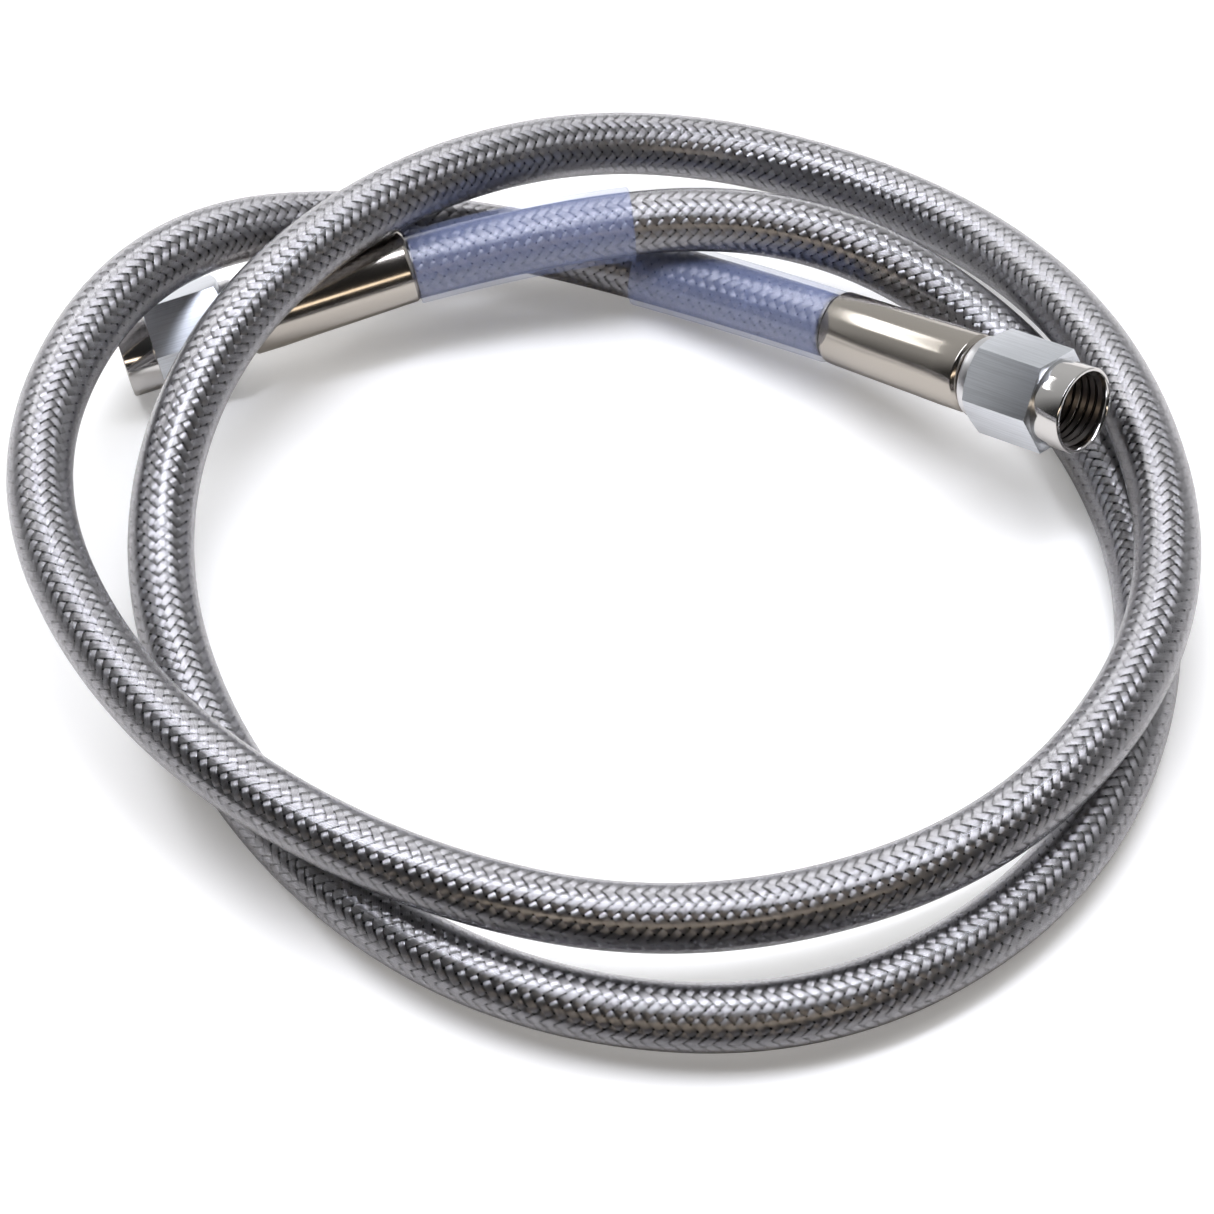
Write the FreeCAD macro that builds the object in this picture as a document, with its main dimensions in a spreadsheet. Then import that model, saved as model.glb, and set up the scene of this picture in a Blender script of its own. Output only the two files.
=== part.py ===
"""Braided supply line: a jacketed hose with a swivel nut fitting at each end, lying in a loose coil.

Units are millimetres. +Z is up, the floor is z = 0, and the origin is under the middle of the two
end fittings. Each fitting is modelled about its own +Z axis, which starts at the mouth of the nut
and runs towards the hose.
"""
import FreeCAD
import Part
import Sketcher

import math
import os

Vector = FreeCAD.Vector

DOCUMENT = "SupplyLine"
SHEET = "Sizes"
EXPORT_FOLDER = "parts"
SHORTEST_EDGE = 1e-4
VOLUME_TOLERANCE = 0.01
FLATS_TOLERANCE = 0.1
FULL_TURN = 360.0

# Driving dimensions. A size called "start", "end" or "middle" is a distance along the fitting from
# the mouth of its nut.
SIZES = {
    "nose_radius": 5.2,
    "nose_round": 0.4,
    "nose_end": 4.0,
    "hex_half_flats": 5.555,
    "hex_corner_radius": 6.41,
    "hex_chamfer": 0.5,
    "hex_end": 13.6,
    "hem_radius": 5.0,
    "hem_end": 15.1,
    "flat_reach": 7.0,
    "thread_radius": 4.25,
    "thread_relief": 0.4,
    "thread_end": 6.4,
    "chamber_radius": 4.6,
    "chamber_end": 11.5,
    "neck_bore_radius": 3.55,
    "nut_groove_radius": 3.95,
    "groove_start": 12.5,
    "groove_end": 13.4,
    "head_radius": 4.15,
    "head_end": 11.4,
    "seat_radius": 3.6,
    "seat_start": 6.6,
    "seat_end": 9.9,
    "neck_radius": 3.5,
    "neck_groove_radius": 3.1,
    "neck_end": 17.0,
    "flow_radius": 1.1,
    "barb_radius": 1.6,
    "barb_root_radius": 1.4,
    "barb_pitch": 4.0,
    "wire_middle": 12.95,
    "wire_ring_radius": 3.5,
    "wire_radius": 0.4,
    "left_crimp_start": 15.25,
    "right_crimp_start": 15.6,
    "crimp_front_radius": 4.8,
    "crimp_rear_radius": 4.5,
    "crimp_round": 0.5,
    "crimp_length": 21.3,
    "sleeve_radius": 4.5,
    "sleeve_length": 27.0,
    "liner_bore_radius": 1.6,
    "liner_radius": 2.9,
    "braid_radius": 3.65,
    "jacket_radius": 3.85,
}
HEX_SIDES = 6
BARBS = 4

# Corners of the hose's middle line, from its end face inside the left crimp ferrule to the one
# inside the right. It goes round the coil twice, and rests on itself where it crosses.
ROUTE = [
    (-41.5, 9.7, 8.4),
    (-7.5, 19.2, 14.0),
    (27.5, 21.7, 13.0),
    (55.5, 3.2, 4.0),
    (66.0, -33.8, 4.0),
    (54.5, -70.8, 4.0),
    (24.5, -93.3, 5.0),
    (-12.0, -89.3, 5.0),
    (-39.5, -64.3, 4.0),
    (-53.0, -31.3, 8.5),
    (-46.0, -3.8, 19.5),
    (-23.5, 21.7, 20.0),
    (6.5, 40.2, 9.5),
    (42.5, 30.7, 5.5),
    (62.5, -1.3, 12.5),
    (67.0, -40.3, 13.0),
    (46.5, -72.8, 12.0),
    (11.0, -85.3, 11.0),
    (-23.5, -78.3, 13.0),
    (-53.5, -55.3, 14.0),
    (-68.0, -22.3, 17.5),
    (-54.0, 11.7, 20.0),
    (-22.5, 28.2, 6.5),
    (15.0, 18.7, 3.5),
    (43.5, -4.8, 13.7),
]
TANGENT_SHARE = 0.45

# The way that one flat of each nut faces.
LEFT_FLAT_FACES = Vector(0.27, -0.96, 0.05)
RIGHT_FLAT_FACES = Vector(-0.57, -0.46, 0.69)


def make_sheet(doc):
    """Write the driving dimensions into a spreadsheet, one cell with an alias each."""
    sheet = doc.addObject("Spreadsheet::Sheet", SHEET)
    for row, (alias, value) in enumerate(SIZES.items(), start=1):
        sheet.set(f"A{row}", alias)
        sheet.set(f"B{row}", str(value))
        sheet.setAlias(f"B{row}", alias)
    doc.recompute()
    return sheet


def sheet_expression(text):
    """Turn words such as "hex_end - hex_chamfer" into an expression that reads the sheet."""
    return " ".join(f"{SHEET}.{word}" if word in SIZES else word for word in text.split())


def sheet_value(text):
    """Work out the same words as a number."""
    total = 0.0
    sign = 1.0
    for word in text.split():
        if word in ("+", "-"):
            sign = 1.0 if word == "+" else -1.0
        else:
            total += sign * (SIZES[word] if word in SIZES else float(word))
    return total


def sheet_size(doc, alias):
    """Read one size back from the document's sheet."""
    return float(doc.getObject(SHEET).get(alias))


def origin_feature(body, role):
    """Return the body's own origin plane or axis with this role."""
    return next(feature for feature in body.Origin.OriginFeatures if feature.Role == role)


def bind_distance(sketch, kind, name, line, text):
    """Place the first point of a line at a distance from the sketch's origin, read from the sheet."""
    value = sheet_value(text)
    if value == 0.0:
        own_axis = -2 if kind == "DistanceX" else -1
        sketch.addConstraint(Sketcher.Constraint("PointOnObject", line, 1, own_axis))
        return
    if value > 0.0:
        constraint = Sketcher.Constraint(kind, -1, 1, line, 1, value)
    else:
        constraint = Sketcher.Constraint(kind, line, 1, -1, 1, -value)
        text = text.removeprefix("- ")
    index = sketch.addConstraint(constraint)
    sketch.renameConstraint(index, name)
    sketch.setExpression(f"Constraints.{name}", sheet_expression(text))


def bound_outline(body, name, plane_role, corners):
    """Draw a closed outline, whose corners follow the sheet, on one of the body's origin planes."""
    sketch = body.newObject("Sketcher::SketchObject", name)
    sketch.AttachmentSupport = [(origin_feature(body, plane_role), "")]
    sketch.MapMode = "FlatFace"
    points = [Vector(sheet_value(across), sheet_value(along), 0) for across, along in corners]
    for number, point in enumerate(points):
        sketch.addGeometry(Part.LineSegment(point, points[(number + 1) % len(points)]), False)
    for number, (across, along) in enumerate(corners):
        following = (number + 1) % len(points)
        sketch.addConstraint(Sketcher.Constraint("Coincident", number, 2, following, 1))
        bind_distance(sketch, "DistanceX", f"across_{number}", number, across)
        bind_distance(sketch, "DistanceY", f"along_{number}", number, along)
    return sketch


def revolved_body(doc, node, corners):
    """Make a body by turning an outline of (radius, distance) corners around its own Z axis."""
    body = doc.addObject("PartDesign::Body", node)
    body.Label = node
    outline = bound_outline(body, f"{node}_outline", "XZ_Plane", corners)
    turned = body.newObject("PartDesign::Revolution", f"{node}_turned")
    turned.Profile = outline
    turned.ReferenceAxis = (outline, ["V_Axis"])
    turned.Angle = FULL_TURN
    body.Tip = turned
    doc.recompute()
    return body


def nut_corners():
    """The nut before its flats are cut: nose, hexagon blank, hem, wire groove, chamber, thread."""
    return [
        ("thread_radius + thread_relief", "0"),
        ("nose_radius - nose_round", "0"),
        ("nose_radius", "nose_round"),
        ("nose_radius", "nose_end"),
        ("hex_corner_radius", "nose_end"),
        ("hex_corner_radius", "hex_end - hex_chamfer"),
        ("hex_corner_radius - hex_chamfer", "hex_end"),
        ("hem_radius", "hex_end"),
        ("hem_radius", "hem_end"),
        ("neck_bore_radius", "hem_end"),
        ("neck_bore_radius", "groove_end"),
        ("nut_groove_radius", "groove_end"),
        ("nut_groove_radius", "groove_start"),
        ("neck_bore_radius", "groove_start"),
        ("neck_bore_radius", "chamber_end"),
        ("chamber_radius", "chamber_end"),
        ("chamber_radius", "thread_end"),
        ("thread_radius", "thread_end"),
        ("thread_radius", "thread_relief"),
    ]


def make_nut(doc, node):
    """Swivel nut: a turned blank, one flat cut along it, and the cut repeated around it."""
    body = revolved_body(doc, node, nut_corners())
    blank_volume = body.Shape.Volume
    corners = [
        ("hex_half_flats", "- flat_reach"),
        ("flat_reach", "- flat_reach"),
        ("flat_reach", "flat_reach"),
        ("hex_half_flats", "flat_reach"),
    ]
    outline = bound_outline(body, f"{node}_flat_outline", "XY_Plane", corners)
    flat = body.newObject("PartDesign::Pocket", f"{node}_flat")
    flat.Profile = outline
    flat.Reversed = True
    flat.setExpression("Length", sheet_expression("hem_end"))
    flats = body.newObject("PartDesign::PolarPattern", f"{node}_flats")
    flats.Originals = [flat]
    flats.Axis = (outline, ["N_Axis"])
    flats.Angle = FULL_TURN
    flats.Occurrences = HEX_SIDES
    body.Tip = flats
    doc.recompute()
    check_flats(blank_volume, body.Shape.Volume)
    return body


def check_flats(blank_volume, cut_volume):
    """Stop unless the six flats took the right amount of metal off the nut's blank."""
    half_flats = SIZES["hex_half_flats"]
    corner_radius = SIZES["hex_corner_radius"]
    half_angle = math.acos(half_flats / corner_radius)
    segment = corner_radius ** 2 * half_angle - half_flats * corner_radius * math.sin(half_angle)
    expected = HEX_SIDES * segment * (SIZES["hex_end"] - SIZES["nose_end"])
    removed = blank_volume - cut_volume
    if abs(removed / expected - 1.0) > FLATS_TOLERANCE:
        raise RuntimeError(f"The flats removed {removed:.2f} cubic mm instead of {expected:.2f}")


def stem_corners():
    """The hose stem: cone seat, head, wire groove and neck in front, barbs inside the hose."""
    corners = [
        ("seat_radius", "seat_start"),
        ("head_radius", "seat_start"),
        ("head_radius", "head_end"),
        ("neck_radius", "head_end"),
        ("neck_radius", "groove_start"),
        ("neck_groove_radius", "groove_start"),
        ("neck_groove_radius", "groove_end"),
        ("neck_radius", "groove_end"),
        ("neck_radius", "neck_end"),
    ]
    barb_start = "neck_end"
    for _ in range(BARBS):
        corners.append(("barb_radius", barb_start))
        barb_start += " + barb_pitch"
        corners.append(("barb_root_radius", barb_start))
    corners.append(("flow_radius", barb_start))
    corners.append(("flow_radius", "seat_end"))
    return corners


def crimp_corners(start):
    """The crimp ferrule: a lip that grips the stem's neck, and a bore that squeezes the hose."""
    end = f"{start} + crimp_length"
    return [
        ("neck_radius", start),
        ("crimp_front_radius - crimp_round", start),
        ("crimp_front_radius", f"{start} + crimp_round"),
        ("crimp_rear_radius", f"{end} - crimp_round"),
        ("crimp_rear_radius - crimp_round", end),
        ("jacket_radius", end),
        ("jacket_radius", "neck_end"),
        ("neck_radius", "neck_end"),
    ]


def make_retaining_ring(doc, node):
    """Round wire ring that keeps the nut on the stem, half in the groove of each."""
    ring = doc.addObject("Part::Torus", node)
    ring.Label = node
    ring.setExpression("Radius1", sheet_expression("wire_ring_radius"))
    ring.setExpression("Radius2", sheet_expression("wire_radius"))
    return ring


def fitting_placement(doc, hose_end, second_corner, flat_faces, distance=0.0):
    """Place a fitting on the line of the hose's last run, turned so that one flat faces this way."""
    inward = (second_corner - hose_end).normalize()
    origin = hose_end - inward * (sheet_size(doc, "neck_end") - distance)
    sideways = (flat_faces - inward * flat_faces.dot(inward)).normalize()
    rotation = FreeCAD.Rotation(sideways, inward.cross(sideways), inward, "ZXY")
    return FreeCAD.Placement(origin, rotation)


def make_fitting(doc, side, hose_end, second_corner, flat_faces):
    """Make one end's swivel nut, stem, retaining ring and crimp ferrule, and put them in place."""
    wire_middle = sheet_size(doc, "wire_middle")
    placement = fitting_placement(doc, hose_end, second_corner, flat_faces)
    ring_placement = fitting_placement(doc, hose_end, second_corner, flat_faces, wire_middle)
    nut = make_nut(doc, f"{side}_swivel_nut")
    stem = revolved_body(doc, f"{side}_hose_stem", stem_corners())
    crimp = revolved_body(doc, f"{side}_crimp_ferrule", crimp_corners(f"{side}_crimp_start"))
    ring = make_retaining_ring(doc, f"{side}_retaining_ring")
    for piece in (nut, stem, crimp):
        piece.Placement = placement
    ring.Placement = ring_placement
    return [nut, stem, ring, crimp]


def tangent_arc_path(corners):
    """Return the edges of straight runs joined by arcs, each as large as its two runs allow."""
    edges = []
    radii = []
    reached = corners[0]
    for before, corner, after in zip(corners, corners[1:], corners[2:]):
        back = before - corner
        onward = after - corner
        half_turn = (math.pi - back.getAngle(onward)) / 2
        tangent = TANGENT_SHARE * min(back.Length, onward.Length)
        radius = tangent / math.tan(half_turn)
        arc_start = corner + back.normalize() * tangent
        arc_end = corner + onward.normalize() * tangent
        bisector = (back + onward).normalize()
        arc_middle = corner + bisector * (radius / math.cos(half_turn) - radius)
        edges.append(Part.LineSegment(reached, arc_start).toShape())
        edges.append(Part.Arc(arc_start, arc_middle, arc_end).toShape())
        radii.append(radius)
        reached = arc_end
    edges.append(Part.LineSegment(reached, corners[-1]).toShape())
    print("arc radii:", " ".join(f"{radius:.1f}" for radius in radii))
    return edges


def stretch(edges, start, end):
    """Return the edges of a path between two distances along it."""
    pieces = []
    passed = 0.0
    for edge in edges:
        first = max(start - passed, 0.0)
        last = min(end - passed, edge.Length)
        if last - first > SHORTEST_EDGE:
            first_parameter = edge.getParameterByLength(first)
            last_parameter = edge.getParameterByLength(last)
            pieces.append(edge.Curve.toShape(first_parameter, last_parameter))
        passed += edge.Length
    return pieces


def make_tube(doc, node, edges, inner, outer):
    """Sweep a ring, between two of the sheet's radii, along edges that meet in line."""
    inner_radius = sheet_size(doc, inner)
    outer_radius = sheet_size(doc, outer)
    start = edges[0].firstVertex(True).Point
    direction = edges[0].tangentAt(edges[0].FirstParameter)
    circles = [Part.Circle(start, direction, radius).toShape() for radius in (outer_radius, inner_radius)]
    disc, hole = [Part.Face(Part.Wire(circle)) for circle in circles]
    shape = Part.Wire(edges).makePipe(disc.cut(hole).Faces[0])
    tube = doc.addObject("Part::Feature", node)
    tube.Label = node
    tube.Shape = shape
    tube.Placement = FreeCAD.Placement()
    length = sum(edge.Length for edge in edges)
    expected = math.pi * (outer_radius ** 2 - inner_radius ** 2) * length
    print(f"{node}: length {length:.2f}, volume {shape.Volume:.1f} of {expected:.1f}")
    if abs(shape.Volume / expected - 1.0) > VOLUME_TOLERANCE:
        raise RuntimeError(f"{node} has the wrong volume")
    return tube


def make_hose(doc, edges):
    """Make the hose's three layers, one inside another over its whole length."""
    layers = [
        ("hose_liner", "liner_bore_radius", "liner_radius"),
        ("hose_braid", "liner_radius", "braid_radius"),
        ("hose_jacket", "braid_radius", "jacket_radius"),
    ]
    return [make_tube(doc, node, edges, inner, outer) for node, inner, outer in layers]


def make_strain_sleeve(doc, side, edges):
    """Make the sleeve that follows the hose from the end of its crimp ferrule."""
    hose_length = sum(edge.Length for edge in edges)
    crimp_end = sheet_size(doc, f"{side}_crimp_start") + sheet_size(doc, "crimp_length")
    near = crimp_end - sheet_size(doc, "neck_end")
    far = near + sheet_size(doc, "sleeve_length")
    if side == "right":
        near, far = hose_length - far, hose_length - near
    sleeve_run = stretch(edges, near, far)
    return make_tube(doc, f"{side}_strain_sleeve", sleeve_run, "jacket_radius", "sleeve_radius")


def check_document(doc, pieces):
    """Stop if any object failed to recompute, or any piece isn't one valid solid."""
    for item in doc.Objects:
        if "Invalid" in item.State or "Error" in item.State:
            raise RuntimeError(f"{item.Label} failed: {item.State}")
    for piece in pieces:
        if piece.Shape.isNull() or not piece.Shape.isValid() or len(piece.Shape.Solids) != 1:
            raise RuntimeError(f"{piece.Label} isn't one valid solid")


def main():
    """Build the supply line and write one STEP file for each piece."""
    doc = FreeCAD.newDocument(DOCUMENT)
    make_sheet(doc)
    corners = [Vector(*point) for point in ROUTE]
    edges = tangent_arc_path(corners)
    pieces = make_fitting(doc, "left", corners[0], corners[1], LEFT_FLAT_FACES)
    pieces += make_fitting(doc, "right", corners[-1], corners[-2], RIGHT_FLAT_FACES)
    pieces += make_hose(doc, edges)
    pieces += [make_strain_sleeve(doc, side, edges) for side in ("left", "right")]
    doc.recompute()
    check_document(doc, pieces)
    os.makedirs(EXPORT_FOLDER, exist_ok=True)
    for piece in pieces:
        piece.Shape.exportStep(os.path.join(EXPORT_FOLDER, f"{piece.Label}.step"))
        print(f"{piece.Label}: {piece.Shape.BoundBox}")


main()
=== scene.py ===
"""Braided supply line: the looks of its hose, its blue sleeves and its two swivel fittings."""

import logging
import math
from dataclasses import dataclass, field
from enum import Enum

import bpy
import numpy as np
from mathutils import Matrix, Vector


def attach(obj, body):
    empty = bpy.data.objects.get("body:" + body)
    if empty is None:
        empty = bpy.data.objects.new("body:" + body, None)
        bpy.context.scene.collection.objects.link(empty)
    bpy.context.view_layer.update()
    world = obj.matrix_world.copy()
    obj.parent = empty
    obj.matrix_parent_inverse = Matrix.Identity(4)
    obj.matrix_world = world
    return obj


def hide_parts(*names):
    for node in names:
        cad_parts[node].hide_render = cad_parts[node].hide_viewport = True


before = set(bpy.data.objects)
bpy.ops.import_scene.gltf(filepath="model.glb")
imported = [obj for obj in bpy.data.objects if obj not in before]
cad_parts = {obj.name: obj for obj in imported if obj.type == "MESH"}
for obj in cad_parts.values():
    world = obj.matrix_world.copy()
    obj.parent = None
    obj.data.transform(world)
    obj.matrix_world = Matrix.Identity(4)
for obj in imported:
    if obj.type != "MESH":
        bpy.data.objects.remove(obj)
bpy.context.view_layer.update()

LOG = logging.getLogger("supply_line")
MM = 0.001
LOCAL_PLACE = "local_place"
RIBBON_MAP = "ribbon"

# How many faces go around a turned piece, and what its bevels and its shading count as an edge.
TURNED_SEGMENTS = 96
BEVEL_STEPS = 3
SHARP_EDGE = math.radians(28)
SMOOTH_EDGE = math.radians(35)
HEX_SHARP_EDGE = math.radians(25)
THREAD_SMOOTH_EDGE = math.radians(40)

# The hose's middle line, in millimetres: the same corners as the CAD route.
ROUTE_MM = [
    (-41.5, 9.7, 8.4),
    (-7.5, 19.2, 14.0),
    (27.5, 21.7, 13.0),
    (55.5, 3.2, 4.0),
    (66.0, -33.8, 4.0),
    (54.5, -70.8, 4.0),
    (24.5, -93.3, 5.0),
    (-12.0, -89.3, 5.0),
    (-39.5, -64.3, 4.0),
    (-53.0, -31.3, 8.5),
    (-46.0, -3.8, 19.5),
    (-23.5, 21.7, 20.0),
    (6.5, 40.2, 9.5),
    (42.5, 30.7, 5.5),
    (62.5, -1.3, 12.5),
    (67.0, -40.3, 13.0),
    (46.5, -72.8, 12.0),
    (11.0, -85.3, 11.0),
    (-23.5, -78.3, 13.0),
    (-53.5, -55.3, 14.0),
    (-68.0, -22.3, 17.5),
    (-54.0, 11.7, 20.0),
    (-22.5, 28.2, 6.5),
    (15.0, 18.7, 3.5),
    (43.5, -4.8, 13.7),
]


class Side(Enum):
    """The two ends of the line."""

    LEFT = "left"
    RIGHT = "right"


class Lean(Enum):
    """The way that one half of the braid's ribbons turn around the hose."""

    RIGHT_HAND = 1
    LEFT_HAND = -1


def linear(hex_colour: str) -> tuple[float, float, float, float]:
    """Turn an sRGB hex colour into a linear one.

    Args:
        hex_colour: Six hex digits, such as "B8B4AE".

    Returns:
        Red, green, blue and an alpha of 1.
    """
    channels = [int(hex_colour[start:start + 2], 16) / 255 for start in (0, 2, 4)]
    curved = [c / 12.92 if c <= 0.04045 else ((c + 0.055) / 1.055) ** 2.4 for c in channels]
    return (curved[0], curved[1], curved[2], 1.0)


def add_node(tree: bpy.types.NodeTree, kind: str, settings: dict | None = None,
             links: dict | None = None) -> bpy.types.Node:
    """Add a node with its settings and the links into it.

    Args:
        tree: The node tree that takes the node.
        kind: The node's type name.
        settings: Values of sockets (by name or number) and of the node's own properties.
        links: Output sockets to join to the node's inputs, by input name or number.

    Returns:
        The new node.
    """
    node = tree.nodes.new(kind)
    for key, value in (settings or {}).items():
        if isinstance(key, int) or key in node.inputs:
            node.inputs[key].default_value = value
        else:
            setattr(node, key, value)
    for key, output in (links or {}).items():
        tree.links.new(output, node.inputs[key])
    return node


def set_ramp(node: bpy.types.Node, stops: list[tuple[float, tuple]]) -> None:
    """Give a colour ramp its stops.

    Args:
        node: The Color Ramp node.
        stops: Places from 0 to 1 with their linear colours, in order.
    """
    elements = node.color_ramp.elements
    while len(elements) < len(stops):
        elements.new(1.0)
    for element, (place, colour) in zip(elements, stops):
        element.position = place
        element.color = colour


def grey(level: float) -> tuple[float, float, float, float]:
    """Return a linear grey for a ramp."""
    return (level, level, level, 1.0)


@dataclass(frozen=True)
class Finish:
    """What every finish has: a name, a colour and the shader's plain numbers."""

    name: str
    colour: str
    roughness: float
    metallic: float = 0.0

    def material(self) -> bpy.types.Material:
        """Make the material, with its pattern added by the finish's own method.

        Returns:
            The finished material.
        """
        material = bpy.data.materials.new(self.name)
        material.use_nodes = True
        tree = material.node_tree
        shader = tree.nodes["Principled BSDF"]
        shader.inputs["Base Color"].default_value = linear(self.colour)
        shader.inputs["Roughness"].default_value = self.roughness
        shader.inputs["Metallic"].default_value = self.metallic
        self.dress(tree, shader)
        return material

    def dress(self, tree: bpy.types.NodeTree, shader: bpy.types.Node) -> None:
        """Add the finish's own pattern; each finish has a method of its own."""


@dataclass(frozen=True)
class TurnedMetal(Finish):
    """Metal turned on a lathe and polished: faint rings around it, and a few rubbed patches."""

    # Turning marks are finer than this; they are drawn as coarse as they need to be to show.
    ring_spacing_mm: float = 0.12
    ring_depth: float = 0.08
    ring_height_mm: float = 0.02
    patch_mm: float = 3.0
    polished: float = 0.75
    dulled: float = 1.35

    def dress(self, tree: bpy.types.NodeTree, shader: bpy.types.Node) -> None:
        """Add the rings to the bump, and the patches to the roughness.

        Args:
            tree: The material's node tree.
            shader: Its Principled shader.
        """
        place = add_node(tree, "ShaderNodeAttribute", {"attribute_name": LOCAL_PLACE})
        along = add_node(tree, "ShaderNodeSeparateXYZ", {}, {0: place.outputs["Vector"]})
        rings = add_node(tree, "ShaderNodeTexNoise",
                         {"noise_dimensions": "1D", "Scale": 1 / self.ring_spacing_mm, "Detail": 3.0},
                         {"W": along.outputs["Z"]})
        bump = add_node(tree, "ShaderNodeBump",
                        {"Strength": self.ring_depth, "Distance": self.ring_height_mm * MM},
                        {"Height": rings.outputs["Fac"]})
        patches = add_node(tree, "ShaderNodeTexNoise", {"Scale": 1 / self.patch_mm, "Detail": 5.0},
                           {"Vector": place.outputs["Vector"]})
        rubbed = add_node(tree, "ShaderNodeMapRange",
                          {"To Min": self.roughness * self.polished, "To Max": self.roughness * self.dulled},
                          {"Value": patches.outputs["Fac"]})
        tree.links.new(bump.outputs["Normal"], shader.inputs["Normal"])
        tree.links.new(rubbed.outputs["Result"], shader.inputs["Roughness"])


@dataclass(frozen=True)
class MilledNickel(Finish):
    """Nickel-plated hexagon stock: fine drawn lines along it, and a soft satin shine."""

    # Drawing marks are finer than this; they are drawn as coarse as they need to be to show.
    line_spacing_mm: float = 0.16
    line_length_mm: float = 9.0
    line_depth: float = 0.12
    line_height_mm: float = 0.03
    polished: float = 0.8
    dulled: float = 1.3
    line_shade: float = 0.82

    def dress(self, tree: bpy.types.NodeTree, shader: bpy.types.Node) -> None:
        """Add the drawn lines to the bump, the roughness and, faintly, the colour.

        Args:
            tree: The material's node tree.
            shader: Its Principled shader.
        """
        place = add_node(tree, "ShaderNodeAttribute", {"attribute_name": LOCAL_PLACE})
        across = 1 / self.line_spacing_mm
        stretched = add_node(tree, "ShaderNodeMapping",
                             {"Scale": (across, across, 1 / self.line_length_mm)},
                             {"Vector": place.outputs["Vector"]})
        lines = add_node(tree, "ShaderNodeTexNoise", {"Scale": 1.0, "Detail": 4.0, "Roughness": 0.65},
                         {"Vector": stretched.outputs["Vector"]})
        bump = add_node(tree, "ShaderNodeBump",
                        {"Strength": self.line_depth, "Distance": self.line_height_mm * MM},
                        {"Height": lines.outputs["Fac"]})
        rubbed = add_node(tree, "ShaderNodeMapRange",
                          {"To Min": self.roughness * self.polished, "To Max": self.roughness * self.dulled},
                          {"Value": lines.outputs["Fac"]})
        tint = add_node(tree, "ShaderNodeValToRGB", {}, {"Fac": lines.outputs["Fac"]})
        base = linear(self.colour)
        darker = tuple(channel * self.line_shade for channel in base[:3]) + (1.0,)
        set_ramp(tint, [(0.3, darker), (0.6, base)])
        tree.links.new(bump.outputs["Normal"], shader.inputs["Normal"])
        tree.links.new(rubbed.outputs["Result"], shader.inputs["Roughness"])
        tree.links.new(tint.outputs["Color"], shader.inputs["Base Color"])


@dataclass(frozen=True)
class GrainedMetal(Finish):
    """Turned steel that is only seen inside the nut: a fine grain and an uneven shine."""

    grain_mm: float = 0.25
    grain_depth: float = 0.15
    grain_height_mm: float = 0.02
    polished: float = 0.75
    dulled: float = 1.4

    def dress(self, tree: bpy.types.NodeTree, shader: bpy.types.Node) -> None:
        """Add the grain to the bump and the roughness.

        Args:
            tree: The material's node tree.
            shader: Its Principled shader.
        """
        place = add_node(tree, "ShaderNodeTexCoord")
        grain = add_node(tree, "ShaderNodeTexNoise", {"Scale": 1 / (self.grain_mm * MM), "Detail": 3.0},
                         {"Vector": place.outputs["Object"]})
        bump = add_node(tree, "ShaderNodeBump",
                        {"Strength": self.grain_depth, "Distance": self.grain_height_mm * MM},
                        {"Height": grain.outputs["Fac"]})
        rubbed = add_node(tree, "ShaderNodeMapRange",
                          {"To Min": self.roughness * self.polished, "To Max": self.roughness * self.dulled},
                          {"Value": grain.outputs["Fac"]})
        tree.links.new(bump.outputs["Normal"], shader.inputs["Normal"])
        tree.links.new(rubbed.outputs["Result"], shader.inputs["Roughness"])


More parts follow.
